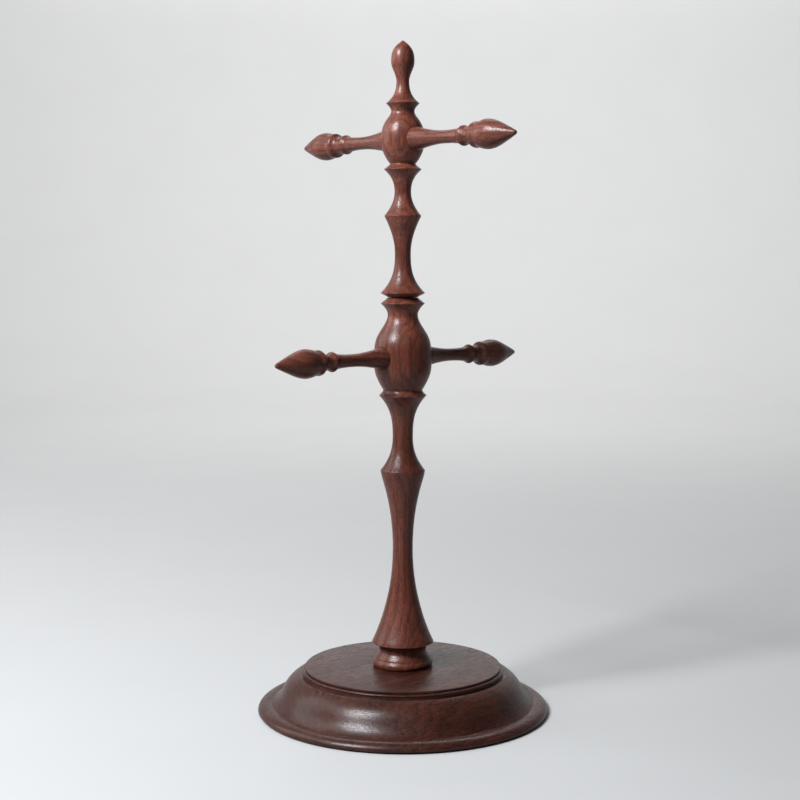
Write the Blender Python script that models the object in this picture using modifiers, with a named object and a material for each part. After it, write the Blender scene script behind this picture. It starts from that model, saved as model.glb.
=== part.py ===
"""Turned hardwood mug tree: a round moulded base, a two-piece turned column and four turned pegs.

The upper pegs point along +X and -X and the lower pegs along +Y and -Y, so that a mug on one peg
hangs clear of the mugs on the others. Every joint is a round tenon in a bored hole, and one wood
screw, hidden by a felt pad, draws the column down onto the base.
Units are metres, +Z is up, and the origin is the centre of the underside.
"""
import bmesh
import bpy
from math import ceil, cos, pi, radians, sin, sqrt
from mathutils import Matrix

MM = 0.001

# ---- clearances ----
GAP = 0.3 * MM                  # left between any two pieces that touch

# ---- base ----
BASE_RADIUS = 88.0 * MM         # widest point of the rim roll
BASE_HEIGHT = 27.5 * MM         # table to the top of the disc
DISC_RADIUS = 59.3 * MM         # flat raised disc that carries the column
LIP_THICKNESS = 1.1 * MM        # crisp edge of the disc
UNDERCUT_HEIGHT = 0.4 * MM      # narrow groove below the lip
UNDERCUT_DEPTH = 1.6 * MM
BEAD_HEIGHT = 1.6 * MM          # small bead below the groove
BEAD_REACH = 1.2 * MM           # half its width
BEAD_LEDGE = 1.7 * MM           # how far its crest stands outside the lip
FILLET_HEIGHT = 1.5 * MM        # upright fillet between the bead and the shoulder
FILLET_LEDGE = 1.1 * MM         # how far the fillet stands outside the lip
SHOULDER_LEDGE = 3.6 * MM       # how far the shoulder starts outside the lip
SHOULDER_LIFT = 0.3 * MM        # its start above the bottom of the fillet
ROLL_HEIGHT = 5.5 * MM          # height of the rim roll
ROLL_BELLY = 1.2 * MM           # height of its widest point above its bottom
ROLL_TOP_INSET = 7.0 * MM       # rim roll, widest point to its top edge
ROLL_FOOT_INSET = 2.5 * MM      # rim roll, widest point to its bottom edge
QUIRK_DEPTH = 0.35 * MM         # step from the top of the roll down to the hollow
QUIRK_WIDTH = 1.4 * MM

# ---- felt pad, let into the underside ----
PAD_INSET = 15.2 * MM           # rim roll's bottom edge to the recess for the pad
PAD_THICKNESS = 1.7 * MM
PAD_PROUD = 0.5 * MM            # how far the pad stands below the rim

# ---- joints ----
FOOT_TENON_RADIUS = 10.0 * MM   # column into base
FOOT_TENON_LENGTH = 17.0 * MM
JOINT_TENON_RADIUS = 5.5 * MM   # upper column into lower column
JOINT_TENON_LENGTH = 18.0 * MM
JOINT_RADIUS = 9.0 * MM         # bottom of the V between the two columns
TENON_CHAMFER = 1.0 * MM

# ---- hubs and pegs ----
LOWER_HUB_RADIUS = 17.15 * MM
UPPER_HUB_RADIUS = 12.9 * MM
HUB_CORE = 4.8 * MM             # least wood left between two opposite peg holes
UPPER_SEAT_SINK = 0.3 * MM      # how deep a peg's shoulder is let into the hub
LOWER_SEAT_SINK = 2.0 * MM
PEG_ROOT_RADIUS = 7.5 * MM
PEG_TENON_RADIUS = 4.0 * MM
PEG_DROOP = radians(0.6)        # the pegs point this little below the level

# ---- screw from below ----
SCREW_RADIUS = 2.1 * MM
SCREW_CORE_RADIUS = 1.5 * MM
SCREW_LENGTH = 24.0 * MM
SCREW_HEAD_RADIUS = 4.2 * MM
SCREW_HEAD_HEIGHT = 2.6 * MM
SCREW_POINT = 4.0 * MM
THREAD_PITCH = 1.8 * MM
THREAD_LENGTH = 14.0 * MM
SLOT_WIDTH = 1.1 * MM
SLOT_DEPTH = 1.2 * MM

# ---- turned outlines ----
# Each row is one station of an outline, named after what is cut there:
# name, rise from the station before, radius, slope on arriving, slope on leaving.
# A slope is radius over rise. Zero slopes are a crest or a waist, equal slopes flow through, and
# unequal slopes meet at a crisp edge.
LOWER_COLUMN = (
    ("foot", 0.0 * MM, 17.5 * MM, 0.0, 0.6),
    ("foot bead", 1.8 * MM, 18.15 * MM, 0.0, 0.0),
    ("foot quirk", 2.7 * MM, 16.8 * MM, -1.0, -0.1),
    ("foot neck", 5.3 * MM, 14.1 * MM, 0.0, 0.0),
    ("foot flange", 4.6 * MM, 18.8 * MM, 2.8, -0.5),
    ("flare", 26.4 * MM, 9.6 * MM, -0.24, -0.24),
    ("long waist", 31.4 * MM, 6.05 * MM, 0.0, 0.0),
    ("swell", 38.8 * MM, 11.4 * MM, 0.29, 0.29),
    ("ring", 8.3 * MM, 13.45 * MM, 0.15, -0.85),
    ("short waist", 20.0 * MM, 6.1 * MM, 0.0, 0.0),
    ("hub flange", 25.3 * MM, 14.3 * MM, 0.95, -1.4),
    ("hub groove", 3.2 * MM, 11.7 * MM, -0.3, 0.62),
    ("hub rising", 9.8 * MM, 16.5 * MM, 0.3, 0.3),
    ("hub", 10.0 * MM, LOWER_HUB_RADIUS, 0.0, 0.0),
    ("hub falling", 12.8 * MM, 15.0 * MM, -0.5, -0.5),
    ("cove", 12.3 * MM, 9.0 * MM, 0.0, 0.0),
    ("top flange", 6.8 * MM, 13.2 * MM, 1.15, -1.2),
    ("joint", 3.5 * MM, JOINT_RADIUS, -1.0, 0.0),
)
UPPER_COLUMN = (
    ("joint", 0.0 * MM, JOINT_RADIUS, 0.0, 1.5),
    ("joint flange", 2.4 * MM, 13.3 * MM, 1.5, -1.05),
    ("waist", 23.9 * MM, 4.75 * MM, 0.0, 0.0),
    ("ring", 21.7 * MM, 11.0 * MM, 0.5, -0.85),
    ("upper waist", 14.0 * MM, 4.9 * MM, 0.0, 0.0),
    ("hub flange", 13.3 * MM, 11.2 * MM, 1.2, -1.4),
    ("hub groove", 3.2 * MM, 7.5 * MM, -0.7, 0.86),
    ("hub", 14.3 * MM, UPPER_HUB_RADIUS, 0.0, 0.0),
    ("hub falling", 11.7 * MM, 9.5 * MM, -0.72, -0.72),
    ("cove", 4.6 * MM, 6.9 * MM, 0.0, 0.0),
    ("finial flange", 4.7 * MM, 9.9 * MM, 1.1, -1.25),
    ("finial neck", 12.9 * MM, 3.75 * MM, 0.0, 0.0),
    ("finial", 11.1 * MM, 6.9 * MM, 0.0, 0.0),
    ("tip", 12.6 * MM, 0.0 * MM, -1.6, 0.0),
)
PEG = (
    ("root", 0.0 * MM, PEG_ROOT_RADIUS, 0.0, -0.24),
    ("waist", 26.1 * MM, 3.75 * MM, 0.0, 0.0),
    ("neck", 12.8 * MM, 4.55 * MM, 0.17, 0.17),
    ("bead", 2.8 * MM, 5.9 * MM, 0.0, 0.0),
    ("groove", 3.2 * MM, 4.7 * MM, 0.0, 0.0),
    ("collar", 4.9 * MM, 6.4 * MM, 1.2, 1.2),
    ("collar crest", 1.8 * MM, 7.4 * MM, 0.0, 0.0),
    ("dip", 2.6 * MM, 7.15 * MM, -0.25, 0.25),
    ("bud", 6.8 * MM, 8.45 * MM, 0.0, 0.0),
    ("taper", 12.7 * MM, 4.75 * MM, -0.4, -0.4),
    ("nose", 8.0 * MM, 1.3 * MM, -0.46, -0.5),
    ("tip", 0.9 * MM, 0.0 * MM, -3.0, 0.0),
)

# ---- fineness of the turned surfaces ----
OUTLINE_TOLERANCE = 0.22 * MM
BASE_SIDES = 56
COLUMN_SIDES = 28
PEG_SIDES = 18
SCREW_SIDES = 16
SHARP_ANGLE = radians(28)

WALNUT = (0.105, 0.038, 0.025, 1.0)
FELT = (0.030, 0.022, 0.018, 1.0)
STEEL = (0.56, 0.55, 0.53, 1.0)


# ---------------------------------------------------------------- outlines
def height_of(stations, wanted):
    """Height of a named station above the first one."""
    height = 0.0
    for name, rise, _radius, _arriving, _leaving in stations:
        height += rise
        if name == wanted:
            return height
    raise ValueError(f"no station named {wanted}")


def length_of(stations):
    """Height of the last station above the first one."""
    return sum(station[1] for station in stations)


def hermite(start, end, leaving, arriving, rise, t):
    """Radius part way up one stretch of an outline, from its end radii and end slopes."""
    return ((2 * t ** 3 - 3 * t ** 2 + 1) * start
            + (t ** 3 - 2 * t ** 2 + t) * rise * leaving
            + (3 * t ** 2 - 2 * t ** 3) * end
            + (t ** 3 - t ** 2) * rise * arriving)


def stretch_steps(start, end, leaving, arriving, rise):
    """Number of straight pieces that keep a stretch within the outline tolerance."""
    chord = end - start
    bow = max(abs(leaving * rise - chord), abs(arriving * rise - chord)) / 4
    return max(1, ceil(sqrt(bow / OUTLINE_TOLERANCE)))


def turned_outline(stations, foot=0.0):
    """(radius, height) points of a turned outline, from the top station down to the first."""
    points = []
    height = foot
    for low, high in zip(stations, stations[1:]):
        _name, _rise, low_radius, _arriving, leaving = low
        _name, rise, high_radius, arriving, _leaving = high
        steps = stretch_steps(low_radius, high_radius, leaving, arriving, rise)
        for step in range(steps):
            t = step / steps
            radius = hermite(low_radius, high_radius, leaving, arriving, rise, t)
            points.append((radius, height + rise * t))
        height += rise
    points.append((stations[-1][2], height))
    return points[::-1]


def arc(centre_radius, centre_height, reach, rise, start, end, steps):
    """(radius, height) points of an elliptical arc; angles run from +radius towards +height."""
    points = []
    for step in range(steps + 1):
        angle = radians(start + (end - start) * step / steps)
        points.append((centre_radius + reach * cos(angle), centre_height + rise * sin(angle)))
    return points


# ---------------------------------------------------------------- modelling helpers
def new_collection(name):
    collection = bpy.data.collections.new(name)
    bpy.context.scene.collection.children.link(collection)
    return collection


def new_material(name, colour, roughness, metallic=0.0):
    material = bpy.data.materials.new(name)
    material.use_nodes = True
    shader = material.node_tree.nodes["Principled BSDF"]
    shader.inputs["Base Color"].default_value = colour
    shader.inputs["Roughness"].default_value = roughness
    shader.inputs["Metallic"].default_value = metallic
    return material


def profile_object(name, points, closed, collection):
    """An object that holds only the half outline of a turned piece, in the XZ plane."""
    mesh = bpy.data.meshes.new(name)
    shape = bmesh.new()
    verts = [shape.verts.new((radius, 0.0, height)) for radius, height in points]
    for start, end in zip(verts, verts[1:]):
        shape.edges.new((start, end))
    if closed:
        shape.edges.new((verts[-1], verts[0]))
    shape.to_mesh(mesh)
    shape.free()
    obj = bpy.data.objects.new(name, mesh)
    collection.objects.link(obj)
    return obj


def add_screw(obj, sides):
    screw = obj.modifiers.new("turn", "SCREW")
    screw.steps = sides
    screw.render_steps = sides
    screw.use_merge_vertices = True
    screw.merge_threshold = 0.00001
    screw.use_smooth_shade = True


def turned_piece(name, points, sides, collection, closed=False):
    """A solid of revolution; its outline runs down the outer side."""
    obj = profile_object(name, points, closed, collection)
    add_screw(obj, sides)
    return obj


def cut(obj, cutter):
    boolean = obj.modifiers.new(f"cut {cutter.name}", "BOOLEAN")
    boolean.operation = "DIFFERENCE"
    boolean.solver = "EXACT"
    boolean.object = cutter


def hide_cutter(cutter):
    cutter.hide_render = True
    cutter.display_type = "WIRE"


def finish(obj, material):
    """Keep the modelled shape as plain mesh, shade it round and give it its material."""
    bpy.context.view_layer.update()
    evaluated = obj.evaluated_get(bpy.context.evaluated_depsgraph_get())
    mesh = bpy.data.meshes.new_from_object(evaluated)
    outline = obj.data
    obj.modifiers.clear()
    obj.data = mesh
    bpy.data.meshes.remove(outline)
    mesh.name = obj.name
    mesh.shade_smooth()
    mesh.set_sharp_from_angle(angle=SHARP_ANGLE)
    mesh.materials.clear()
    mesh.materials.append(material)


# ---------------------------------------------------------------- base, pad and screw
def recess_radius():
    """The shallow recess that holds the pad."""
    return BASE_RADIUS - ROLL_FOOT_INSET - PAD_INSET


def screw_head_height():
    """Height of the flat of the screw's head, just clear of the pad."""
    return PAD_THICKNESS + GAP


def base_outline():
    """Closed outline: disc, groove, bead, fillet, ogee, rim roll, underside, mortise."""
    mortise = FOOT_TENON_RADIUS + GAP
    mortise_floor = BASE_HEIGHT - FOOT_TENON_LENGTH - GAP
    lip_under = BASE_HEIGHT - LIP_THICKNESS
    groove = DISC_RADIUS - UNDERCUT_DEPTH
    bead_top = lip_under - UNDERCUT_HEIGHT
    bead_middle = DISC_RADIUS + BEAD_LEDGE - BEAD_REACH
    fillet = DISC_RADIUS + FILLET_LEDGE
    fillet_foot = bead_top - BEAD_HEIGHT - FILLET_HEIGHT
    shoulder = DISC_RADIUS + SHOULDER_LEDGE
    roll_top = PAD_PROUD + ROLL_HEIGHT
    belly = PAD_PROUD + ROLL_BELLY
    roll_inner = BASE_RADIUS - ROLL_TOP_INSET
    hollow = roll_inner - QUIRK_WIDTH
    points = [(mortise, BASE_HEIGHT), (DISC_RADIUS, BASE_HEIGHT), (DISC_RADIUS, lip_under),
              (groove, lip_under), (groove, bead_top)]
    points += arc(bead_middle, bead_top - BEAD_HEIGHT / 2, BEAD_REACH, BEAD_HEIGHT / 2, 90, -60, 4)
    points += [(fillet, bead_top - BEAD_HEIGHT), (fillet, fillet_foot)]
    points += ogee(shoulder, fillet_foot + SHOULDER_LIFT, hollow, roll_top - QUIRK_DEPTH)
    points += arc(roll_inner, belly, ROLL_TOP_INSET, roll_top - belly, 90, 0, 5)
    points += arc(BASE_RADIUS - ROLL_FOOT_INSET, belly, ROLL_FOOT_INSET, belly - PAD_PROUD,
                  0, -90, 4)[1:]
    points += underside(mortise_floor)
    points.append((mortise, mortise_floor))
    return points


def ogee(top_radius, top, foot_radius, foot):
    """The moulding of the base: a convex shoulder that turns into a hollow, top to bottom."""
    middle = top + 0.55 * (foot - top)
    middle_radius = top_radius + 0.60 * (foot_radius - top_radius)
    lean = (foot_radius - top_radius) / (top - foot)
    stations = (
        ("hollow", 0.0, foot_radius, 0.0, -1.5 * lean),
        ("turn", middle - foot, middle_radius, -0.57 * lean, -0.57 * lean),
        ("shoulder", top - middle, top_radius, -2.1 * lean, 0.0),
    )
    return turned_outline(stations, foot)


def underside(mortise_floor):
    """Inner part of the base's outline: pad recess, countersink and screw hole, going inwards."""
    recess = PAD_THICKNESS + GAP
    hole = SCREW_RADIUS + GAP
    sink = SCREW_HEAD_RADIUS + GAP
    sink_top = recess + SCREW_HEAD_HEIGHT + GAP
    return [(recess_radius(), PAD_PROUD), (recess_radius(), recess),
            (sink, recess), (hole, sink_top), (hole, mortise_floor)]


def make_base(collection):
    base = turned_piece("base", base_outline(), BASE_SIDES, collection, closed=True)
    finish(base, new_material("base wood", WALNUT, 0.36))
    return base


def make_pad(collection):
    radius = recess_radius() - GAP
    points = [(0.0, PAD_THICKNESS), (radius, PAD_THICKNESS), (radius, 0.0), (0.0, 0.0)]
    pad = turned_piece("base_pad", points, BASE_SIDES, collection)
    finish(pad, new_material("felt", FELT, 0.95))
    return pad


def screw_outline():
    """Outline of the screw, point upwards: point, thread rings, shank and countersunk head."""
    points = [(0.0, SCREW_LENGTH), (SCREW_CORE_RADIUS, SCREW_LENGTH - SCREW_POINT)]
    height = SCREW_LENGTH - SCREW_POINT
    for _ring in range(int((THREAD_LENGTH - SCREW_POINT) / THREAD_PITCH)):
        points.append((SCREW_RADIUS, height - 0.5 * THREAD_PITCH))
        points.append((SCREW_CORE_RADIUS, height - THREAD_PITCH))
        height -= THREAD_PITCH
    points.append((SCREW_RADIUS, height - THREAD_PITCH))
    points.append((SCREW_RADIUS, SCREW_HEAD_HEIGHT))
    points.append((SCREW_HEAD_RADIUS, 0.0))
    points.append((0.0, 0.0))
    return points


def make_screw(collection, cutters):
    screw = turned_piece("base_screw", screw_outline(), SCREW_SIDES, collection)
    screw.location.z = screw_head_height()
    slot = slot_cutter(cutters)
    slot.location.z = screw_head_height()
    cut(screw, slot)
    finish(screw, new_material("screw steel", STEEL, 0.32, 1.0))
    return screw


def slot_cutter(cutters):
    mesh = bpy.data.meshes.new("screw slot")
    shape = bmesh.new()
    bmesh.ops.create_cube(shape, size=1.0)
    size = (3 * SCREW_HEAD_RADIUS, SLOT_WIDTH, 2 * SLOT_DEPTH, 1.0)
    bmesh.ops.transform(shape, matrix=Matrix.Diagonal(size), verts=shape.verts)
    shape.to_mesh(mesh)
    shape.free()
    cutter = bpy.data.objects.new("screw slot", mesh)
    cutters.objects.link(cutter)
    hide_cutter(cutter)
    return cutter


# ---------------------------------------------------------------- pegs and their sockets
def seat_distance(hub_radius, sink):
    """Distance from the column's axis to a peg's shoulder."""
    pocket = PEG_ROOT_RADIUS + GAP
    return sqrt(hub_radius ** 2 - pocket ** 2) - sink


def peg_tenon_length():
    """The same for all pegs: what the smaller hub has room for."""
    nearest = min(seat_distance(UPPER_HUB_RADIUS, UPPER_SEAT_SINK),
                  seat_distance(LOWER_HUB_RADIUS, LOWER_SEAT_SINK))
    return nearest - 2 * GAP - HUB_CORE / 2


def peg_outline():
    """Outline of a peg, tip first, down to the end of its tenon."""
    end = -peg_tenon_length()
    tenon = PEG_TENON_RADIUS
    chamfer = TENON_CHAMFER / 2
    points = turned_outline(PEG)
    points += [(tenon, 0.0), (tenon, end + chamfer), (tenon - chamfer, end), (0.0, end)]
    return points


def socket_outline():
    """Outline of what a drill takes out of the hub for one peg: a pocket and a deeper hole."""
    pocket = PEG_ROOT_RADIUS + GAP
    hole = PEG_TENON_RADIUS + GAP
    clear = 2 * max(LOWER_HUB_RADIUS, UPPER_HUB_RADIUS)
    end = -peg_tenon_length() - GAP
    return [(0.0, clear), (pocket, clear), (pocket, -GAP), (hole, -GAP), (hole, end), (0.0, end)]


def aim(obj, turn, distance, height):
    """Point a piece's own axis outwards at an angle in plan, and put it on the hub.

    The axis leaves the column's axis at that height and falls by the droop on its way out.
    """
    obj.rotation_euler = (0.0, pi / 2 + PEG_DROOP, turn)
    reach = distance * cos(PEG_DROOP)
    obj.location = (reach * cos(turn), reach * sin(turn), height - distance * sin(PEG_DROOP))


def make_peg_pair(names, column, turn, distance, height, collection, cutters):
    """Two opposite pegs, and the two sockets cut for them."""
    for side, name in enumerate(names):
        direction = turn + side * pi
        socket = turned_piece(f"{name} socket", socket_outline(), PEG_SIDES, cutters)
        aim(socket, direction, distance, height)
        hide_cutter(socket)
        cut(column, socket)
        peg = turned_piece(name, peg_outline(), PEG_SIDES, collection)
        aim(peg, direction, distance, height)
        finish(peg, new_material(f"{name} wood", WALNUT, 0.38))


# ---------------------------------------------------------------- columns
def lower_column_foot():
    return BASE_HEIGHT + GAP


def upper_column_foot():
    return lower_column_foot() + length_of(LOWER_COLUMN) + GAP


def lower_column_outline():
    """Mortise in the top, the turned outside, the foot tenon and the screw's pilot hole."""
    foot = lower_column_foot()
    top = foot + length_of(LOWER_COLUMN)
    mortise = JOINT_TENON_RADIUS + GAP
    mortise_floor = top - JOINT_TENON_LENGTH - GAP
    tenon = FOOT_TENON_RADIUS
    tenon_end = BASE_HEIGHT - FOOT_TENON_LENGTH
    pilot = SCREW_RADIUS + GAP
    pilot_end = screw_head_height() + SCREW_LENGTH + GAP
    points = [(0.0, mortise_floor), (mortise, mortise_floor), (mortise, top)]
    points += turned_outline(LOWER_COLUMN, foot)
    points += [(tenon, foot), (tenon, tenon_end + TENON_CHAMFER),
               (tenon - TENON_CHAMFER, tenon_end), (pilot, tenon_end),
               (pilot, pilot_end - SCREW_RADIUS), (0.0, pilot_end)]
    return points


def upper_column_outline():
    """The turned outside down to the joint, then the tenon."""
    foot = upper_column_foot()
    end = foot - GAP - JOINT_TENON_LENGTH
    tenon = JOINT_TENON_RADIUS
    points = turned_outline(UPPER_COLUMN, foot)
    points += [(tenon, foot), (tenon, end + TENON_CHAMFER), (tenon - TENON_CHAMFER, end),
               (0.0, end)]
    return points


def make_lower_column(collection, cutters):
    column = turned_piece("lower_column", lower_column_outline(), COLUMN_SIDES, collection)
    height = lower_column_foot() + height_of(LOWER_COLUMN, "hub")
    distance = seat_distance(LOWER_HUB_RADIUS, LOWER_SEAT_SINK)
    names = ("lower_peg_back", "lower_peg_front")
    make_peg_pair(names, column, pi / 2, distance, height, collection, cutters)
    finish(column, new_material("lower column wood", WALNUT, 0.36))


def make_upper_column(collection, cutters):
    column = turned_piece("upper_column", upper_column_outline(), COLUMN_SIDES, collection)
    height = upper_column_foot() + height_of(UPPER_COLUMN, "hub")
    distance = seat_distance(UPPER_HUB_RADIUS, UPPER_SEAT_SINK)
    names = ("upper_peg_right", "upper_peg_left")
    make_peg_pair(names, column, 0.0, distance, height, collection, cutters)
    finish(column, new_material("upper column wood", WALNUT, 0.36))


def clear_scene():
    for obj in list(bpy.data.objects):
        bpy.data.objects.remove(obj, do_unlink=True)


def main():
    clear_scene()
    parts = new_collection("mug tree")
    cutters = new_collection("cutters")
    make_base(parts)
    make_pad(parts)
    make_screw(parts, cutters)
    make_lower_column(parts, cutters)
    make_upper_column(parts, cutters)


main()
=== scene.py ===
"""Turned walnut mug tree, finished for close viewing.

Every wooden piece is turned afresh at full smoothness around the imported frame, given its own cut
of walnut, and put on the stage. Units are metres and +Z is up.
"""
from math import ceil, cos, pi, radians, sin, sqrt

import bmesh
import bpy
from bpy.props import FloatProperty, FloatVectorProperty, IntProperty, PointerProperty
from mathutils import Matrix, Vector


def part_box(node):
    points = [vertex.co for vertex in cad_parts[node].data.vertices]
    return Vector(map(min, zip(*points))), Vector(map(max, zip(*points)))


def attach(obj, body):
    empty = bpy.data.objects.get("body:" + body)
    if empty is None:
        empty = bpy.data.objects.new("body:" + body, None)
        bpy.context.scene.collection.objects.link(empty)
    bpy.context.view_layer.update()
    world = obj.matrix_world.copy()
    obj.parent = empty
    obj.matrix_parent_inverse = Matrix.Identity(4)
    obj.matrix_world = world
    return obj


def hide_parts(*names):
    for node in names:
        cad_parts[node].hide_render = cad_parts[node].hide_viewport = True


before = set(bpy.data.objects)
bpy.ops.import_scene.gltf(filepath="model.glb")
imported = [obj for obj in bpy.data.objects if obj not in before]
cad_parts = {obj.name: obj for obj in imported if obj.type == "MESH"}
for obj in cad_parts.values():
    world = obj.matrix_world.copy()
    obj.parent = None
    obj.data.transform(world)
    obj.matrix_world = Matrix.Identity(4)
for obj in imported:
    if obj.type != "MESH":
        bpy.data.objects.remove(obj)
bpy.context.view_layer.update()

bl_info = {
    "name": "Turned mug tree",
    "version": (1, 0, 0),
    "blender": (4, 5, 0),
    "location": "View3D > Sidebar > Mug tree",
    "description": "Turns the pieces of a wooden mug tree and sets the stage for them",
    "category": "Add Mesh",
}

MM = 0.001

# ---- turned outlines ----
# One row per station, named after what is cut there:
# name, rise from the station before, radius, slope on arriving, slope on leaving.
# Zero slopes are a crest or a waist, equal slopes flow through, unequal slopes meet at an arris.
JOINT_RADIUS = 9.0 * MM
LOWER_HUB_RADIUS = 17.15 * MM
UPPER_HUB_RADIUS = 12.9 * MM
PEG_ROOT_RADIUS = 7.5 * MM
LOWER_COLUMN = (
    ("foot", 0.0 * MM, 17.5 * MM, 0.0, 0.6),
    ("foot bead", 1.8 * MM, 18.15 * MM, 0.0, 0.0),
    ("foot quirk", 2.7 * MM, 16.8 * MM, -1.0, -0.1),
    ("foot neck", 5.3 * MM, 14.1 * MM, 0.0, 0.0),
    ("foot flange", 4.6 * MM, 18.8 * MM, 2.8, -0.5),
    ("flare", 26.4 * MM, 9.6 * MM, -0.24, -0.24),
    ("long waist", 31.4 * MM, 6.05 * MM, 0.0, 0.0),
    ("swell", 38.8 * MM, 11.4 * MM, 0.29, 0.29),
    ("ring", 8.3 * MM, 13.45 * MM, 0.15, -0.85),
    ("short waist", 20.0 * MM, 6.1 * MM, 0.0, 0.0),
    ("hub flange", 25.3 * MM, 14.3 * MM, 0.95, -1.4),
    ("hub groove", 3.2 * MM, 11.7 * MM, -0.3, 0.62),
    ("hub rising", 9.8 * MM, 16.5 * MM, 0.3, 0.3),
    ("hub", 10.0 * MM, LOWER_HUB_RADIUS, 0.0, 0.0),
    ("hub falling", 12.8 * MM, 15.0 * MM, -0.5, -0.5),
    ("cove", 12.3 * MM, 9.0 * MM, 0.0, 0.0),
    ("top flange", 6.8 * MM, 13.2 * MM, 1.15, -1.2),
    ("joint", 3.5 * MM, JOINT_RADIUS, -1.0, 0.0),
)
UPPER_COLUMN = (
    ("joint", 0.0 * MM, JOINT_RADIUS, 0.0, 1.5),
    ("joint flange", 2.4 * MM, 13.3 * MM, 1.5, -1.05),
    ("waist", 23.9 * MM, 4.75 * MM, 0.0, 0.0),
    ("ring", 21.7 * MM, 11.0 * MM, 0.5, -0.85),
    ("upper waist", 14.0 * MM, 4.9 * MM, 0.0, 0.0),
    ("hub flange", 13.3 * MM, 11.2 * MM, 1.2, -1.4),
    ("hub groove", 3.2 * MM, 7.5 * MM, -0.7, 0.86),
    ("hub", 14.3 * MM, UPPER_HUB_RADIUS, 0.0, 0.0),
    ("hub falling", 11.7 * MM, 9.5 * MM, -0.72, -0.72),
    ("cove", 4.6 * MM, 6.9 * MM, 0.0, 0.0),
    ("finial flange", 4.7 * MM, 9.9 * MM, 1.1, -1.25),
    ("finial neck", 12.9 * MM, 3.75 * MM, 0.0, 0.0),
    ("finial", 11.1 * MM, 6.9 * MM, 0.0, 0.0),
    ("tip", 12.6 * MM, 0.0 * MM, -1.6, 0.0),
)
PEG = (
    ("root", 0.0 * MM, PEG_ROOT_RADIUS, 0.0, -0.24),
    ("waist", 26.1 * MM, 3.75 * MM, 0.0, 0.0),
    ("neck", 12.8 * MM, 4.55 * MM, 0.17, 0.17),
    ("bead", 2.8 * MM, 5.9 * MM, 0.0, 0.0),
    ("groove", 3.2 * MM, 4.7 * MM, 0.0, 0.0),
    ("collar", 4.9 * MM, 6.4 * MM, 1.2, 1.2),
    ("collar crest", 1.8 * MM, 7.4 * MM, 0.0, 0.0),
    ("dip", 2.6 * MM, 7.15 * MM, -0.25, 0.25),
    ("bud", 6.8 * MM, 8.45 * MM, 0.0, 0.0),
    ("taper", 12.7 * MM, 4.75 * MM, -0.4, -0.4),
    ("nose", 8.0 * MM, 1.3 * MM, -0.46, -0.5),
    ("tip", 0.9 * MM, 0.0 * MM, -3.0, 0.0),
)

# ---- joinery ----
GAP = 0.3 * MM
FOOT_TENON_RADIUS = 10.0 * MM
JOINT_TENON_RADIUS = 5.5 * MM
JOINT_TENON_LENGTH = 18.0 * MM
PEG_TENON_RADIUS = 4.0 * MM
PEG_DROOP = radians(0.6)
SEAT_GAP = 0.08 * MM
UPPER_SEAT_DEPTH = 2.2 * MM
LOWER_SEAT_DEPTH = 3.4 * MM
TENON_CHAMFER = 1.0 * MM
SCREW_RADIUS = 2.1 * MM
SCREW_HEAD_RADIUS = 4.2 * MM
SCREW_HEAD_HEIGHT = 2.6 * MM

# ---- base moulding ----
DISC_RADIUS = 59.3 * MM
LIP_THICKNESS = 1.1 * MM
UNDERCUT_HEIGHT = 0.4 * MM
UNDERCUT_DEPTH = 1.6 * MM
BEAD_HEIGHT = 1.6 * MM
BEAD_REACH = 1.2 * MM
BEAD_LEDGE = 1.7 * MM
FILLET_HEIGHT = 1.5 * MM
FILLET_LEDGE = 1.1 * MM
SHOULDER_LEDGE = 3.6 * MM
SHOULDER_LIFT = 0.3 * MM
ROLL_HEIGHT = 5.5 * MM
ROLL_BELLY = 1.2 * MM
ROLL_TOP_INSET = 7.0 * MM
ROLL_FOOT_INSET = 2.5 * MM
QUIRK_DEPTH = 0.35 * MM
QUIRK_WIDTH = 1.4 * MM
OGEE_TURN = (0.55, 0.60)        # share of the fall and of the spread at which it turns
OGEE_SLOPES = (-1.5, -0.57, -2.1)    # in the hollow, at the turn and at the shoulder
PAD_ROUNDING = 0.5 * MM

# ---- cuts of wood ----
# Where each piece was sawn from the board: pith's place across the grain and place along it, in
# millimetres, then its depth of tone, below 1 for a darker piece: partly the board's own tone and
# partly painted shade, set lower for the pieces nearer the base, where the light falls off.
BASE_GRAIN = radians(87)        # direction of the base's grain in plan
BASE_CUT = ((45.0, -45.0), 40.0, 0.32)
LOWER_COLUMN_CUT = ((31.0, 17.0), 210.0, 0.90)
UPPER_COLUMN_CUT = ((22.0, -26.0), 930.0, 0.96)
# Pegs on the lower column are darker than those on the upper column: painted shade.
PEG_TONE_AND_SHADE = {"upper_column": 0.86, "lower_column": 0.74}

# ---- finish ----
SHARP_ANGLE = radians(40)
EDGE_REACH = 0.9 * MM           # how far round each point its edge is judged
EDGE_NEIGHBOURS = 12

# ---- stage ----
FLOOR_RADIUS = 1.9
WALL_CURVE = 0.8                # radius of the curve from the floor up into the wall
WALL_TOP = 2.6
WALL_SIDES = 96
LIGHT_TARGET = (0.0, 0.0, 0.2)
WALL_TARGET = (2.4, 0.7)        # distance behind the column and height
SENSOR_WIDTH = 36.0


# ---------------------------------------------------------------- sizes and looks to set
class TurningProperties(bpy.types.PropertyGroup):
    """How finely the pieces are turned and sanded."""
    arris: FloatProperty(
        name="Arris rounding", description="How far sanding has rounded each crisp edge",
        default=0.22 * MM, min=0.0, unit="LENGTH")
    tolerance: FloatProperty(
        name="Outline tolerance", description="Farthest the outline may stray from its curve",
        default=0.012 * MM, min=0.001 * MM, unit="LENGTH")
    base_sides: IntProperty(name="Base sides", description="Faces round the base", default=288)
    column_sides: IntProperty(name="Column sides", description="Faces round a column", default=144)
    peg_sides: IntProperty(name="Peg sides", description="Faces round a peg", default=96)


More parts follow.
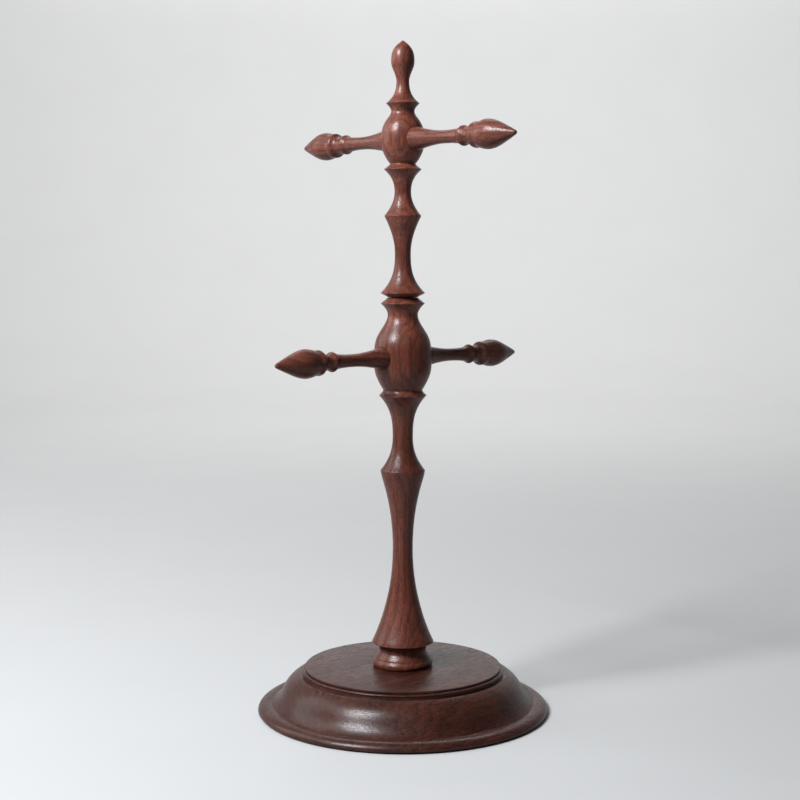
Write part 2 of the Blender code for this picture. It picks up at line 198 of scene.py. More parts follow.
class WoodProperties(bpy.types.PropertyGroup):
    """The walnut and its oil finish."""
    light: FloatVectorProperty(
        name="Light wood", description="Colour of the open early wood", subtype="COLOR",
        default=(0.150, 0.043, 0.027), size=3, min=0.0, max=1.0)
    middle: FloatVectorProperty(
        name="Middle wood", description="Main colour of the wood", subtype="COLOR",
        default=(0.092, 0.024, 0.014), size=3, min=0.0, max=1.0)
    dark: FloatVectorProperty(
        name="Dark wood", description="Colour of the dense late wood", subtype="COLOR",
        default=(0.030, 0.0078, 0.0050), size=3, min=0.0, max=1.0)
    ring_width: FloatProperty(
        name="Ring width", description="Growth of one year", default=3.8 * MM, unit="LENGTH")
    pore_width: FloatProperty(
        name="Pore width", description="Width of one open pore", default=0.36 * MM,
        unit="LENGTH")
    pore_depth: FloatProperty(
        name="Pore depth", description="How deep the pores are left by the finish",
        default=0.10 * MM, unit="LENGTH")
    roughness: FloatProperty(
        name="Roughness", description="Roughness of the oiled surface", default=0.29,
        min=0.0, max=1.0, subtype="FACTOR")


class StageProperties(bpy.types.PropertyGroup):
    """Camera and lights."""
    azimuth: FloatProperty(
        name="Azimuth", description="Direction the camera looks from, round the column",
        default=radians(47.92), subtype="ANGLE")
    distance: FloatProperty(
        name="Distance", description="Camera to column, along the floor", default=0.9225,
        unit="LENGTH")
    height: FloatProperty(
        name="Height", description="Camera above the floor", default=0.2772, unit="LENGTH")
    pitch: FloatProperty(
        name="Pitch", description="How far the camera looks down", default=radians(5.434),
        subtype="ANGLE")
    aside: FloatProperty(
        name="Aside", description="How far the camera looks past the column",
        default=radians(0.104), subtype="ANGLE")
    lens: FloatProperty(
        name="Lens", description="Focal length in millimetres on a 36 mm sensor", default=69.55,
        min=1.0, unit="CAMERA")
    window: FloatProperty(
        name="Window", description="Power of the window light in watts", default=35.0,
        min=0.0, unit="POWER")
    side: FloatProperty(
        name="Side light", description="Power of the soft light from the side in watts",
        default=6.5, min=0.0, unit="POWER")
    backdrop: FloatProperty(
        name="Backdrop light", description="Power of the light on the backdrop in watts",
        default=62.0, min=0.0, unit="POWER")
    sky: FloatProperty(
        name="Sky", description="Strength of the even light all round", default=0.06,
        min=0.0)


# ---------------------------------------------------------------- outlines
def height_of(stations, wanted):
    """Height of a named station above the first one."""
    height = 0.0
    for name, rise, _radius, _arriving, _leaving in stations:
        height += rise
        if name == wanted:
            return height
    raise ValueError(f"no station named {wanted}")


def length_of(stations):
    """Height of the last station above the first one."""
    return sum(station[1] for station in stations)


def hermite(start, end, leaving, arriving, rise, t):
    """Radius part way up one stretch, from its end radii and end slopes."""
    return ((2 * t ** 3 - 3 * t ** 2 + 1) * start
            + (t ** 3 - 2 * t ** 2 + t) * rise * leaving
            + (3 * t ** 2 - 2 * t ** 3) * end
            + (t ** 3 - t ** 2) * rise * arriving)


def stretch_steps(start, end, leaving, arriving, rise, tolerance):
    """Number of straight pieces that keep a stretch within the tolerance."""
    chord = end - start
    bow = max(abs(leaving * rise - chord), abs(arriving * rise - chord)) / 4
    return max(1, ceil(sqrt(bow / tolerance)))


def turned_outline(stations, foot, tolerance):
    """(radius, height, crisp) points of a turned outline, from the top station to the first."""
    points = []
    height = foot
    crisp = True
    for low, high in zip(stations, stations[1:]):
        low_radius, leaving = low[2], low[4]
        _name, rise, high_radius, arriving, next_leaving = high
        steps = stretch_steps(low_radius, high_radius, leaving, arriving, rise, tolerance)
        for step in range(steps):
            t = step / steps
            radius = hermite(low_radius, high_radius, leaving, arriving, rise, t)
            points.append((radius, height + rise * t, crisp and step == 0))
        height += rise
        crisp = arriving != next_leaving
    points.append((stations[-1][2], height, stations[-1][2] > 0))
    return points[::-1]


def arc(centre_radius, centre_height, reach, rise, start, end, steps):
    """(radius, height, crisp) points of an elliptical arc, from +radius towards +height."""
    points = []
    for step in range(steps + 1):
        angle = radians(start + (end - start) * step / steps)
        points.append((centre_radius + reach * cos(angle),
                       centre_height + rise * sin(angle), False))
    return points


def crisp(*points):
    """Corner points that sanding rounds a little."""
    return [(radius, height, True) for radius, height in points]


def plain(*points):
    """Points that stay as they are, such as those on the axis."""
    return [(radius, height, False) for radius, height in points]


# ---------------------------------------------------------------- turning
def wire(points, closed, rounding):
    """The half outline as one chain of edges in the XZ plane, with its crisp corners rounded."""
    shape = bmesh.new()
    verts = [shape.verts.new((radius, 0.0, height)) for radius, height, _crisp in points]
    for start, end in zip(verts, verts[1:]):
        shape.edges.new((start, end))
    if closed:
        shape.edges.new((verts[-1], verts[0]))
    corners = [vert for vert, point in zip(verts, points) if point[2]]
    bmesh.ops.bevel(shape, geom=corners, offset=rounding, offset_type="OFFSET", segments=3,
                    profile=0.5, affect="VERTICES", clamp_overlap=True, material=-1)
    return shape


def chain(shape):
    """The wire's vertices in order, starting at a free end if there is one."""
    shape.verts.ensure_lookup_table()
    ends = [vert for vert in shape.verts if len(vert.link_edges) == 1]
    vert = ends[0] if ends else shape.verts[0]
    order = [vert]
    seen = {vert}
    while True:
        ahead = [edge.other_vert(vert) for edge in vert.link_edges]
        ahead = [other for other in ahead if other not in seen]
        if not ahead:
            return order
        vert = ahead[0]
        seen.add(vert)
        order.append(vert)


def mark_edges(shape):
    """Store how far each point stands proud of (+) or sunk into (-) the outline round it."""
    layer = shape.verts.layers.float.new("proud")
    order = chain(shape)
    travelled = [0.0]
    for before, after in zip(order, order[1:]):
        travelled.append(travelled[-1] + (after.co - before.co).length)
    for here, vert in enumerate(order):
        weight = 0.0
        centre = Vector()
        first = max(0, here - EDGE_NEIGHBOURS)
        last = min(len(order), here + EDGE_NEIGHBOURS + 1)
        for there in range(first, last):
            away = abs(travelled[there] - travelled[here]) / EDGE_REACH
            if away < 1.0:
                weight += 1.0 - away
                centre += (1.0 - away) * order[there].co
        before = order[max(0, here - 1)].co
        after = order[min(len(order) - 1, here + 1)].co
        along = (after - before).normalized()
        outward = Vector((-along.z, 0.0, along.x))
        vert[layer] = (vert.co - centre / weight).dot(outward) / EDGE_REACH


def turn(name, points, sides, rounding, closed=False):
    """Spin a half outline into a closed solid, as a new object."""
    shape = wire(points, closed, rounding)
    mark_edges(shape)
    bmesh.ops.spin(shape, geom=shape.verts[:] + shape.edges[:], cent=(0, 0, 0), axis=(0, 0, 1),
                   angle=2 * pi, steps=sides, use_merge=True, use_normal_flip=False,
                   use_duplicate=False)
    bmesh.ops.remove_doubles(shape, verts=shape.verts, dist=0.001 * MM)
    bmesh.ops.recalc_face_normals(shape, faces=shape.faces)
    mesh = bpy.data.meshes.new(name)
    shape.to_mesh(mesh)
    shape.free()
    obj = bpy.data.objects.new(name, mesh)
    bpy.context.scene.collection.objects.link(obj)
    return obj


def drill(obj, tool):
    """Take the tool's shape out of a piece, for good."""
    hole = obj.modifiers.new("drill", "BOOLEAN")
    hole.operation = "DIFFERENCE"
    hole.solver = "EXACT"
    hole.object = tool
    bpy.context.view_layer.update()
    evaluated = obj.evaluated_get(bpy.context.evaluated_depsgraph_get())
    mesh = bpy.data.meshes.new_from_object(evaluated)
    whole = obj.data
    obj.modifiers.clear()
    obj.data = mesh
    bpy.data.meshes.remove(whole)
    mesh.name = obj.name
    bpy.data.objects.remove(tool, do_unlink=True)


def aimed(turn_angle, distance, height):
    """Places a peg's own axis outwards at an angle in plan, falling by the droop."""
    reach = distance * cos(PEG_DROOP)
    fall = distance * sin(PEG_DROOP)
    place = Matrix.Translation((reach * cos(turn_angle), reach * sin(turn_angle),
                                height - fall))
    return (place @ Matrix.Rotation(turn_angle, 4, "Z")
            @ Matrix.Rotation(pi / 2 + PEG_DROOP, 4, "Y"))


def finish_piece(obj, material, node):
    """Shade a turned piece, give it its wood, and let it stand for its node of the frame."""
    obj.data.shade_smooth()
    obj.data.set_sharp_from_angle(angle=SHARP_ANGLE)
    obj.data.materials.clear()
    obj.data.materials.append(material)
    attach(obj, "root")
    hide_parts(node)


# ---------------------------------------------------------------- materials
class Nodes:
    """Adds and joins the nodes of one material."""

    def __init__(self, name):
        self.material = bpy.data.materials.new(name)
        self.material.use_nodes = True
        self.tree = self.material.node_tree
        self.shader = self.tree.nodes["Principled BSDF"]

    def add(self, kind, inputs=(), **settings):
        """A new node; each input is a (socket, value or output to join) pair."""
        node = self.tree.nodes.new(kind)
        for setting, value in settings.items():
            setattr(node, setting, value)
        for socket, value in dict(inputs).items():
            self.feed(node.inputs[socket], value)
        return node

    def feed(self, socket, value):
        if isinstance(value, bpy.types.NodeSocket):
            self.tree.links.new(value, socket)
        else:
            socket.default_value = value

    def math(self, operation, first, second=0.0, third=0.0):
        inputs = {0: first, 1: second, 2: third}
        return self.add("ShaderNodeMath", inputs, operation=operation).outputs[0]

    def vector(self, operation, first, second):
        inputs = {0: first, 1: second}
        return self.add("ShaderNodeVectorMath", inputs, operation=operation)

    def noise(self, vector, scale, detail=2.0, roughness=0.5):
        inputs = {"Vector": vector, "Scale": scale, "Detail": detail, "Roughness": roughness}
        return self.add("ShaderNodeTexNoise", inputs)

    def between(self, value, low, high, to_low=0.0, to_high=1.0):
        """value stretched from low..high to to_low..to_high, smoothly and clamped."""
        inputs = {"Value": value, "From Min": low, "From Max": high,
                  "To Min": to_low, "To Max": to_high}
        return self.add("ShaderNodeMapRange", inputs,
                        interpolation_type="SMOOTHSTEP").outputs["Result"]

    def mix(self, factor, first, second, blend="MIX"):
        node = self.add("ShaderNodeMix", data_type="RGBA", blend_type=blend)
        self.feed(node.inputs[0], factor)
        self.feed(node.inputs[6], first)
        self.feed(node.inputs[7], second)
        return node.outputs[2]


def rgba(colour):
    return (*colour, 1.0)


def grain_coordinates(nodes, grain, pith, along):
    """Object coordinates in millimetres, turned so that the grain runs along Z from the pith."""
    turned = Vector(grain).rotation_difference(Vector((0, 0, 1))).to_euler("XYZ")
    place = nodes.add("ShaderNodeTexCoord").outputs["Object"]
    return nodes.add("ShaderNodeMapping", {
        "Vector": place, "Location": (pith[0], pith[1], along),
        "Rotation": turned, "Scale": (1000.0, 1000.0, 1000.0)}).outputs[0]


def stretched(nodes, coordinates, along):
    """Coordinates squeezed along the grain, so that a pattern is drawn out along it."""
    return nodes.vector("MULTIPLY", coordinates, (1.0, 1.0, along)).outputs[0]


def growth_rings(nodes, coordinates, ring_width):
    """0 in the open early wood to 1 in the dense late wood of each year."""
    sway = nodes.noise(stretched(nodes, coordinates, 0.16), 0.035, detail=3.0).outputs["Color"]
    sway = nodes.vector("SUBTRACT", sway, (0.5, 0.5, 0.5)).outputs[0]
    sway = nodes.vector("MULTIPLY", sway, (15.0, 15.0, 0.0)).outputs[0]
    across = nodes.vector("MULTIPLY", coordinates, (1.0, 1.0, 0.0)).outputs[0]
    across = nodes.vector("ADD", across, sway).outputs[0]
    distance = nodes.vector("LENGTH", across, (0, 0, 0)).outputs["Value"]
    years = nodes.math("DIVIDE", distance, ring_width / MM)
    uneven = nodes.noise(stretched(nodes, coordinates, 0.02), 0.12, detail=1.0).outputs["Fac"]
    years = nodes.math("ADD", years, nodes.math("MULTIPLY", uneven, 2.2))
    year = nodes.math("FRACT", years)
    rising = nodes.between(year, 0.25, 0.93)
    falling = nodes.between(year, 0.93, 1.0, 1.0, 0.0)
    return nodes.math("MULTIPLY", rising, falling)


def walnut(name, grain, cut, look):
    """Oiled walnut whose grain, rings and pores run through the piece as in a solid block."""
    pith, along, depth = cut
    nodes = Nodes(name)
    place = grain_coordinates(nodes, grain, pith, along)
    ring = growth_rings(nodes, place, look.ring_width)
    figure = nodes.noise(stretched(nodes, place, 0.09), 0.055, 3.0, 0.55).outputs["Fac"]
    streak = nodes.noise(stretched(nodes, place, 0.022), 0.55, 4.0, 0.62).outputs["Fac"]
    fibre = nodes.noise(stretched(nodes, place, 0.03), 2.2, 3.0, 0.6).outputs["Fac"]
    pore = nodes.noise(stretched(nodes, place, 0.10), 0.72 * MM / look.pore_width, 1.0, 0.4)
    pore = nodes.between(pore.outputs["Fac"], 0.57, 0.64)
    tone = nodes.between(figure, 0.36, 0.64)
    ground = nodes.mix(tone, rgba(look.middle), rgba(look.light))
    streaks = nodes.between(streak, 0.47, 0.72, 0.0, 0.58)
    ground = nodes.mix(streaks, ground, rgba(look.dark))
    ground = nodes.mix(nodes.math("MULTIPLY", ring, 0.45), ground, rgba(look.dark))
    # The depth scales the colour: partly the wood's own tone, partly painted shade.
    shade = nodes.between(fibre, 0.25, 0.75, 0.80 * depth, 1.18 * depth)
    ground = nodes.mix(1.0, ground, shade, "MULTIPLY")
    ground = nodes.mix(nodes.math("MULTIPLY", pore, 0.72), ground, rgba(look.dark))
    proud = nodes.add("ShaderNodeAttribute", attribute_name="proud").outputs["Fac"]
    worn = nodes.between(proud, 0.06, 0.22, 0.0, 0.35)
    ground = nodes.mix(worn, ground, rgba(look.light))
    # Points sunk into the outline, in grooves, coves and under lips, are darkened towards the dark
    # wood: painted shade.
    painted_groove_shade = nodes.between(proud, -0.04, -0.20, 0.0, 0.55)
    ground = nodes.mix(painted_groove_shade, ground, rgba([0.5 * value for value in look.dark]))
    nodes.feed(nodes.shader.inputs["Base Color"], ground)
    rough = nodes.between(fibre, 0.2, 0.8, look.roughness - 0.05, look.roughness + 0.07)
    rough = nodes.math("ADD", rough, nodes.math("MULTIPLY", pore, 0.22))
    nodes.feed(nodes.shader.inputs["Roughness"], rough)
    relief = nodes.math("MULTIPLY_ADD", fibre, 0.12, nodes.math("MULTIPLY", pore, -1.0))
    bump = nodes.add("ShaderNodeBump", {
        "Strength": 0.55, "Distance": look.pore_depth, "Height": relief}).outputs[0]
    nodes.feed(nodes.shader.inputs["Normal"], bump)
    nodes.shader.inputs["Specular IOR Level"].default_value = 0.25
    return nodes.material


def felt(name):
    """Pressed wool felt."""
    nodes = Nodes(name)
    place = nodes.add("ShaderNodeTexCoord").outputs["Object"]
    tuft = nodes.noise(place, 1400.0, 4.0, 0.7).outputs["Fac"]
    patch = nodes.noise(place, 60.0, 2.0).outputs["Fac"]
    colour = nodes.mix(nodes.between(tuft, 0.3, 0.7), rgba((0.022, 0.015, 0.012)),
                       rgba((0.060, 0.043, 0.036)))
    colour = nodes.mix(nodes.between(patch, 0.3, 0.7, 0.0, 0.3), colour,
                       rgba((0.028, 0.020, 0.017)))
    nodes.feed(nodes.shader.inputs["Base Color"], colour)
    nodes.shader.inputs["Roughness"].default_value = 0.95
    nodes.shader.inputs["Sheen Weight"].default_value = 0.4
    bump = nodes.add("ShaderNodeBump", {
        "Strength": 0.9, "Distance": 0.25 * MM, "Height": tuft}).outputs[0]
    nodes.feed(nodes.shader.inputs["Normal"], bump)
    return nodes.material


def steel(name):
    """Bright turned steel with fine tool lines round it."""
    nodes = Nodes(name)
    place = nodes.add("ShaderNodeTexCoord").outputs["Object"]
    lines = nodes.vector("MULTIPLY", place, (200.0, 200.0, 9000.0)).outputs[0]
    lines = nodes.noise(lines, 1.0, 2.0).outputs["Fac"]
    colour = nodes.mix(lines, rgba((0.50, 0.49, 0.47)), rgba((0.62, 0.61, 0.59)))
    nodes.feed(nodes.shader.inputs["Base Color"], colour)
    nodes.shader.inputs["Metallic"].default_value = 1.0
    nodes.feed(nodes.shader.inputs["Roughness"], nodes.between(lines, 0.2, 0.8, 0.24, 0.40))
    bump = nodes.add("ShaderNodeBump", {
        "Strength": 0.4, "Distance": 0.02 * MM, "Height": lines}).outputs[0]
    nodes.feed(nodes.shader.inputs["Normal"], bump)
    return nodes.material


def studio_paper(name):
    """Seamless pale backdrop paper."""
    nodes = Nodes(name)
    place = nodes.add("ShaderNodeTexCoord").outputs["Object"]
    mottle = nodes.noise(place, 9.0, 4.0, 0.6).outputs["Fac"]
    colour = nodes.mix(mottle, rgba((0.37, 0.37, 0.37)), rgba((0.39, 0.39, 0.39)))
    nodes.feed(nodes.shader.inputs["Base Color"], colour)
    nodes.shader.inputs["Roughness"].default_value = 0.9
    nodes.shader.inputs["Specular IOR Level"].default_value = 0.2
    return nodes.material


# ---------------------------------------------------------------- pieces
def base_outline(tolerance):
    """Closed outline of the base: disc, groove, bead, fillet, ogee, rim roll and mortise."""
    low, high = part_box("base")
    rim = high.x
    mortise = FOOT_TENON_RADIUS + GAP
    mortise_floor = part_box("lower_column")[0].z - GAP
    lip_under = high.z - LIP_THICKNESS
    groove = DISC_RADIUS - UNDERCUT_DEPTH
    bead_top = lip_under - UNDERCUT_HEIGHT
    bead_middle = DISC_RADIUS + BEAD_LEDGE - BEAD_REACH
    fillet = DISC_RADIUS + FILLET_LEDGE
    fillet_foot = bead_top - BEAD_HEIGHT - FILLET_HEIGHT
    roll_top = low.z + ROLL_HEIGHT
    belly = low.z + ROLL_BELLY
    points = crisp((mortise, high.z), (DISC_RADIUS, high.z), (DISC_RADIUS, lip_under),
                   (groove, lip_under), (groove, bead_top))
    points += arc(bead_middle, bead_top - BEAD_HEIGHT / 2, BEAD_REACH, BEAD_HEIGHT / 2,
                  90, -60, 14)
    points += crisp((fillet, bead_top - BEAD_HEIGHT), (fillet, fillet_foot))
    points += ogee(DISC_RADIUS + SHOULDER_LEDGE, fillet_foot + SHOULDER_LIFT,
                   rim - ROLL_TOP_INSET - QUIRK_WIDTH, roll_top - QUIRK_DEPTH, tolerance)
    points += arc(rim - ROLL_TOP_INSET, belly, ROLL_TOP_INSET, roll_top - belly, 90, 0, 18)
    points += arc(rim - ROLL_FOOT_INSET, belly, ROLL_FOOT_INSET, belly - low.z, 0, -90, 12)[1:]
    points += underside(low.z, mortise_floor)
    points += crisp((mortise, mortise_floor))
    return points


def ogee(top_radius, top, foot_radius, foot, tolerance):
    """The moulding of the base: a convex shoulder that turns into a hollow, top to bottom."""
    middle = top + OGEE_TURN[0] * (foot - top)
    middle_radius = top_radius + OGEE_TURN[1] * (foot_radius - top_radius)
    lean = (foot_radius - top_radius) / (top - foot)
    hollow, turn_slope, shoulder = (slope * lean for slope in OGEE_SLOPES)
    stations = (
        ("hollow", 0.0, foot_radius, 0.0, hollow),
        ("turn", middle - foot, middle_radius, turn_slope, turn_slope),
        ("shoulder", top - middle, top_radius, shoulder, 0.0),
    )
    return turned_outline(stations, foot, tolerance)


def underside(bottom, mortise_floor):
    """Pad recess, countersink and screw hole, going inwards."""
    pad_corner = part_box("base_pad")[1]
    recess = pad_corner.x + GAP
    ceiling = pad_corner.z + GAP
    hole = SCREW_RADIUS + GAP
    sink = SCREW_HEAD_RADIUS + GAP
    return crisp((recess, bottom), (recess, ceiling), (sink, ceiling),
                 (hole, ceiling + SCREW_HEAD_HEIGHT + GAP), (hole, mortise_floor))


def lower_column_outline(tolerance):
    """Mortise, turned outside, foot tenon and the screw's pilot hole."""
    low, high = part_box("lower_column")
    foot = high.z - length_of(LOWER_COLUMN)
    mortise = JOINT_TENON_RADIUS + GAP
    mortise_floor = high.z - JOINT_TENON_LENGTH - GAP
    pilot = SCREW_RADIUS + GAP
    pilot_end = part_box("base_screw")[1].z + GAP
    points = plain((0.0, mortise_floor)) + crisp((mortise, mortise_floor), (mortise, high.z))
    points += turned_outline(LOWER_COLUMN, foot, tolerance)
    points += crisp((FOOT_TENON_RADIUS, foot), (FOOT_TENON_RADIUS, low.z + TENON_CHAMFER),
                    (FOOT_TENON_RADIUS - TENON_CHAMFER, low.z), (pilot, low.z),
                    (pilot, pilot_end - SCREW_RADIUS))
    return points + plain((0.0, pilot_end))


def upper_column_outline(tolerance):
    """The turned outside down to the joint, then the tenon."""
    low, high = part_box("upper_column")
    points = turned_outline(UPPER_COLUMN, high.z - length_of(UPPER_COLUMN), tolerance)
    points += crisp((JOINT_TENON_RADIUS, high.z - length_of(UPPER_COLUMN)),
                    (JOINT_TENON_RADIUS, low.z + TENON_CHAMFER),
                    (JOINT_TENON_RADIUS - TENON_CHAMFER, low.z))
    return points + plain((0.0, low.z))


class Peg:
    """Where one peg of the frame stands."""

    def __init__(self, node, angle, column, stations, seat_depth):
        low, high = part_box(node)
        outward = Vector((cos(angle), sin(angle), 0.0))
        near, far = sorted((abs(low.dot(outward)), abs(high.dot(outward))))
        self.node = node
        self.column = column
        self.angle = angle
        self.height = (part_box(column)[1].z - length_of(stations)
                       + height_of(stations, "hub"))
        self.shoulder = far / cos(PEG_DROOP) - length_of(PEG)
        self.tenon = self.shoulder - near / cos(PEG_DROOP)
        self.seat_depth = seat_depth
        self.seat_radius = hermite(PEG[0][2], PEG[1][2], PEG[0][4], PEG[1][3], PEG[1][1],
                                   seat_depth / PEG[1][1])

    def place(self):
        """Where its shoulder's middle goes, and which way it points."""
        return aimed(self.angle, self.shoulder, self.height)


PEGS = {
    "upper_column": (
        Peg("upper_peg_right", 0.0, "upper_column", UPPER_COLUMN, UPPER_SEAT_DEPTH),
        Peg("upper_peg_left", pi, "upper_column", UPPER_COLUMN, UPPER_SEAT_DEPTH)),
    "lower_column": (
        Peg("lower_peg_back", pi / 2, "lower_column", LOWER_COLUMN, LOWER_SEAT_DEPTH),
        Peg("lower_peg_front", -pi / 2, "lower_column", LOWER_COLUMN, LOWER_SEAT_DEPTH)),
}


def socket_tool(peg, sides):
    """What is taken out of the hub for one peg: a pocket for its shoulder and a deeper hole."""
    pocket = peg.seat_radius + SEAT_GAP
    hole = PEG_TENON_RADIUS + SEAT_GAP
    points = plain((0.0, LOWER_HUB_RADIUS), (pocket, LOWER_HUB_RADIUS), (pocket, -SEAT_GAP),
                   (hole, -SEAT_GAP), (hole, -peg.tenon - GAP), (0.0, -peg.tenon - GAP))
    tool = turn(f"{peg.node} socket", points, sides, 0.0)
    tool.data.transform(peg.place())
    return tool


def peg_outline(peg, tolerance):
    """Outline of a peg, tip first, down to the end of its tenon."""
    chamfer = TENON_CHAMFER / 2
    points = [point for point in turned_outline(PEG, 0.0, tolerance)
              if point[1] > peg.seat_depth]
    points += plain((peg.seat_radius, peg.seat_depth)) + crisp((peg.seat_radius, 0.0))
    points += crisp((PEG_TENON_RADIUS, 0.0), (PEG_TENON_RADIUS, chamfer - peg.tenon),
                    (PEG_TENON_RADIUS - chamfer, -peg.tenon))
    return points + plain((0.0, -peg.tenon))


class MUGTREE_OT_base(bpy.types.Operator):
    """Turn the moulded base"""
    bl_idname = "mugtree.base"
    bl_label = "Base"

    def execute(self, context):
        turning = context.scene.mug_turning
        base = turn("base_turned", base_outline(turning.tolerance), turning.base_sides,
                    turning.arris, closed=True)
        grain = (cos(BASE_GRAIN), sin(BASE_GRAIN), 0.0)
        wood = walnut("base walnut", grain, BASE_CUT, context.scene.mug_wood)
        finish_piece(base, wood, "base")
        return {"FINISHED"}


class MUGTREE_OT_pad(bpy.types.Operator):
    """Cut the felt pad"""
    bl_idname = "mugtree.pad"
    bl_label = "Felt pad"

    def execute(self, context):
        low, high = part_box("base_pad")
        points = plain((0.0, high.z)) + crisp((high.x, high.z), (high.x, low.z))
        points += plain((0.0, low.z))
        pad = turn("pad_felt", points, context.scene.mug_turning.base_sides,
                   PAD_ROUNDING)
        finish_piece(pad, felt("brown felt"), "base_pad")
        return {"FINISHED"}


class MUGTREE_OT_screw(bpy.types.Operator):
    """Finish the screw under the base"""
    bl_idname = "mugtree.screw"
    bl_label = "Base screw"

    def execute(self, context):
        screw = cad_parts["base_screw"]
        screw.data.materials.clear()
        screw.data.materials.append(steel("screw steel"))
        return {"FINISHED"}


class MUGTREE_OT_lower_column(bpy.types.Operator):
    """Turn the lower column and drill its hub"""
    bl_idname = "mugtree.lower_column"
    bl_label = "Lower column"

    def execute(self, context):
        make_column(context, "lower_column", lower_column_outline, LOWER_COLUMN_CUT)
        return {"FINISHED"}


class MUGTREE_OT_upper_column(bpy.types.Operator):
    """Turn the upper column with its finial and drill its hub"""
    bl_idname = "mugtree.upper_column"
    bl_label = "Upper column"

    def execute(self, context):
        make_column(context, "upper_column", upper_column_outline, UPPER_COLUMN_CUT)
        return {"FINISHED"}


def make_column(context, node, outline, cut):
    """Turn one column of the frame and drill a socket for each of its pegs."""
    turning = context.scene.mug_turning
    column = turn(f"{node}_turned", outline(turning.tolerance), turning.column_sides,
                  turning.arris)
    for peg in PEGS[node]:
        drill(column, socket_tool(peg, turning.peg_sides))
    wood = walnut(f"{node} walnut", (0.0, 0.0, 1.0), cut, context.scene.mug_wood)
    finish_piece(column, wood, node)


class MUGTREE_OT_pegs(bpy.types.Operator):
    """Turn the four pegs"""
    bl_idname = "mugtree.pegs"
    bl_label = "Pegs"

    def execute(self, context):
        turning = context.scene.mug_turning
        for number, peg in enumerate(PEGS["upper_column"] + PEGS["lower_column"]):
            piece = turn(f"{peg.node}_turned", peg_outline(peg, turning.tolerance),
                         turning.peg_sides, turning.arris)
            piece.data.transform(peg.place())
            pith = (14.0 + 5.0 * number, 23.0 - 9.0 * number)
            # The peg's depth of tone follows its column: partly its own tone, partly painted
            # shade.
            cut = (pith, 400.0 * number, PEG_TONE_AND_SHADE[peg.column])
            grain = (cos(peg.angle), sin(peg.angle), 0.0)
            wood = walnut(f"{peg.node} walnut", grain, cut, context.scene.mug_wood)
            finish_piece(piece, wood, peg.node)
        return {"FINISHED"}


# ---------------------------------------------------------------- stage
def backdrop():
    """Seamless paper: a floor that curves up into a wall all round."""
    points = plain((0.0, 0.0), (FLOOR_RADIUS, 0.0))
    points += arc(FLOOR_RADIUS, WALL_CURVE, WALL_CURVE, WALL_CURVE, -90, 0, 16)[1:]
    points += plain((FLOOR_RADIUS + WALL_CURVE, WALL_TOP))
    shape = wire(points, False, 0.0)
    bmesh.ops.spin(shape, geom=shape.verts[:] + shape.edges[:], cent=(0, 0, 0), axis=(0, 0, 1),
                   angle=2 * pi, steps=WALL_SIDES, use_merge=True, use_normal_flip=False,
                   use_duplicate=False)
    bmesh.ops.remove_doubles(shape, verts=shape.verts, dist=0.01 * MM)
    bmesh.ops.recalc_face_normals(shape, faces=shape.faces)
    bmesh.ops.reverse_faces(shape, faces=shape.faces)
    mesh = bpy.data.meshes.new("backdrop")
    shape.to_mesh(mesh)
    shape.free()
    mesh.shade_smooth()
    mesh.materials.append(studio_paper("backdrop paper"))
    obj = bpy.data.objects.new("backdrop", mesh)
    bpy.context.scene.collection.objects.link(obj)


def panel_light(name, azimuth, elevation, distance, size, watts, colour, target):
    """A soft rectangular light that faces a target from an azimuth and elevation."""
    light = bpy.data.lights.new(name, "AREA")
    light.shape = "RECTANGLE"
    light.size, light.size_y = size
    light.energy = watts
    light.color = colour
    obj = bpy.data.objects.new(name, light)
    bpy.context.scene.collection.objects.link(obj)
    back = Vector((sin(azimuth) * cos(elevation), -cos(azimuth) * cos(elevation),
                   sin(elevation)))
    obj.location = Vector(target) + distance * back
    obj.rotation_euler = back.to_track_quat("Z", "Y").to_euler()
    obj.visible_camera = False


def lights(stage):
    """A window, a weaker light further round on its side, and a light on the backdrop."""
    behind, up = WALL_TARGET
    wall = (-behind * sin(stage.azimuth), behind * cos(stage.azimuth), up)
    panel_light("window", stage.azimuth - radians(50), radians(42), 1.2, (0.42, 0.50),
                stage.window, (0.94, 0.97, 1.0), LIGHT_TARGET)
    panel_light("side light", stage.azimuth - radians(104), radians(24), 1.2, (0.7, 0.9),
                stage.side, (0.96, 0.98, 1.0), LIGHT_TARGET)
    panel_light("backdrop light", stage.azimuth, radians(50), 1.5, (1.6, 0.5),
                stage.backdrop, (1.0, 1.0, 1.0), wall)
    world = bpy.data.worlds.new("studio")
    bpy.context.scene.world = world
    world.use_nodes = True
    background = world.node_tree.nodes["Background"]
    background.inputs["Color"].default_value = (1.0, 1.0, 1.0, 1.0)
    background.inputs["Strength"].default_value = stage.sky


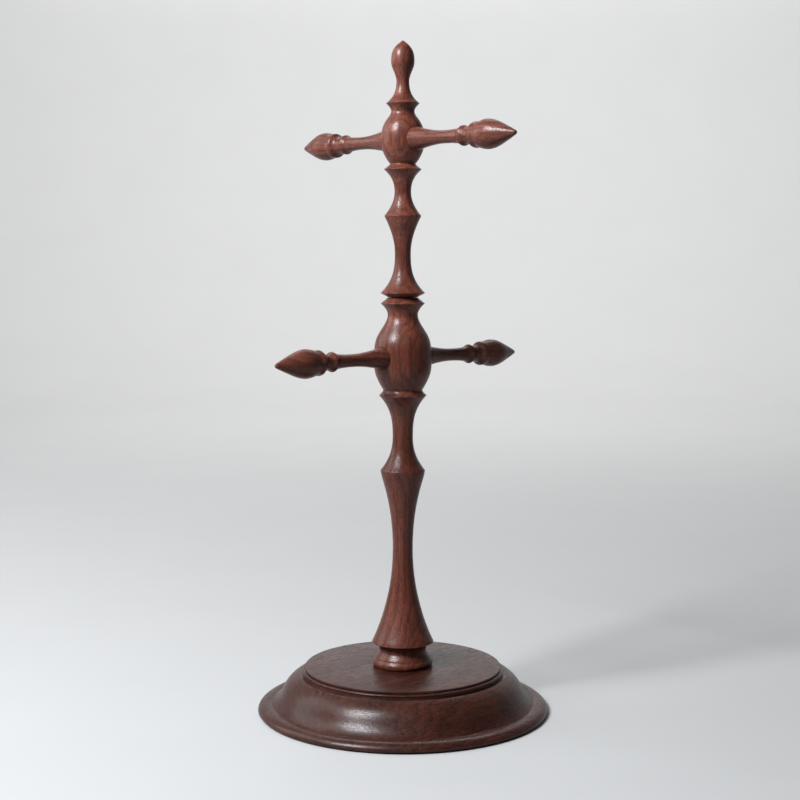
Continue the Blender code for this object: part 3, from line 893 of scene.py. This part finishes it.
def camera(stage):
    """The camera, level from side to side, looking a little down and past the column."""
    data = bpy.data.cameras.new("camera")
    data.sensor_width = SENSOR_WIDTH
    data.lens = stage.lens
    data.clip_start = 0.01
    obj = bpy.data.objects.new("camera", data)
    bpy.context.scene.collection.objects.link(obj)
    obj.location = (stage.distance * sin(stage.azimuth), -stage.distance * cos(stage.azimuth),
                    stage.height)
    obj.rotation_euler = (pi / 2 - stage.pitch, 0.0, stage.azimuth + stage.aside)
    bpy.context.scene.camera = obj


class MUGTREE_OT_stage(bpy.types.Operator):
    """Set up the backdrop, the lights and the camera"""
    bl_idname = "mugtree.stage"
    bl_label = "Stage"

    def execute(self, context):
        stage = context.scene.mug_stage
        backdrop()
        lights(stage)
        camera(stage)
        context.scene.view_settings.view_transform = "Standard"
        return {"FINISHED"}


class MUGTREE_PT_panel(bpy.types.Panel):
    """The mug tree's pieces and settings"""
    bl_label = "Mug tree"
    bl_idname = "MUGTREE_PT_panel"
    bl_space_type = "VIEW_3D"
    bl_region_type = "UI"
    bl_category = "Mug tree"

    def draw(self, context):
        scene = context.scene
        for operator in OPERATORS:
            self.layout.operator(operator.bl_idname)
        for settings in (scene.mug_turning, scene.mug_wood, scene.mug_stage):
            box = self.layout.box()
            for name in settings.__annotations__:
                box.prop(settings, name)


OPERATORS = (MUGTREE_OT_base, MUGTREE_OT_pad, MUGTREE_OT_screw, MUGTREE_OT_lower_column,
             MUGTREE_OT_upper_column, MUGTREE_OT_pegs, MUGTREE_OT_stage)
CLASSES = (TurningProperties, WoodProperties, StageProperties, *OPERATORS, MUGTREE_PT_panel)


def register():
    for cls in CLASSES:
        bpy.utils.register_class(cls)
    bpy.types.Scene.mug_turning = PointerProperty(type=TurningProperties)
    bpy.types.Scene.mug_wood = PointerProperty(type=WoodProperties)
    bpy.types.Scene.mug_stage = PointerProperty(type=StageProperties)


def unregister():
    del bpy.types.Scene.mug_stage
    del bpy.types.Scene.mug_wood
    del bpy.types.Scene.mug_turning
    for cls in reversed(CLASSES):
        bpy.utils.unregister_class(cls)


def main():
    register()
    bpy.ops.mugtree.base()
    bpy.ops.mugtree.pad()
    bpy.ops.mugtree.screw()
    bpy.ops.mugtree.lower_column()
    bpy.ops.mugtree.upper_column()
    bpy.ops.mugtree.pegs()
    bpy.ops.mugtree.stage()


if __name__ == "__main__":
    main()
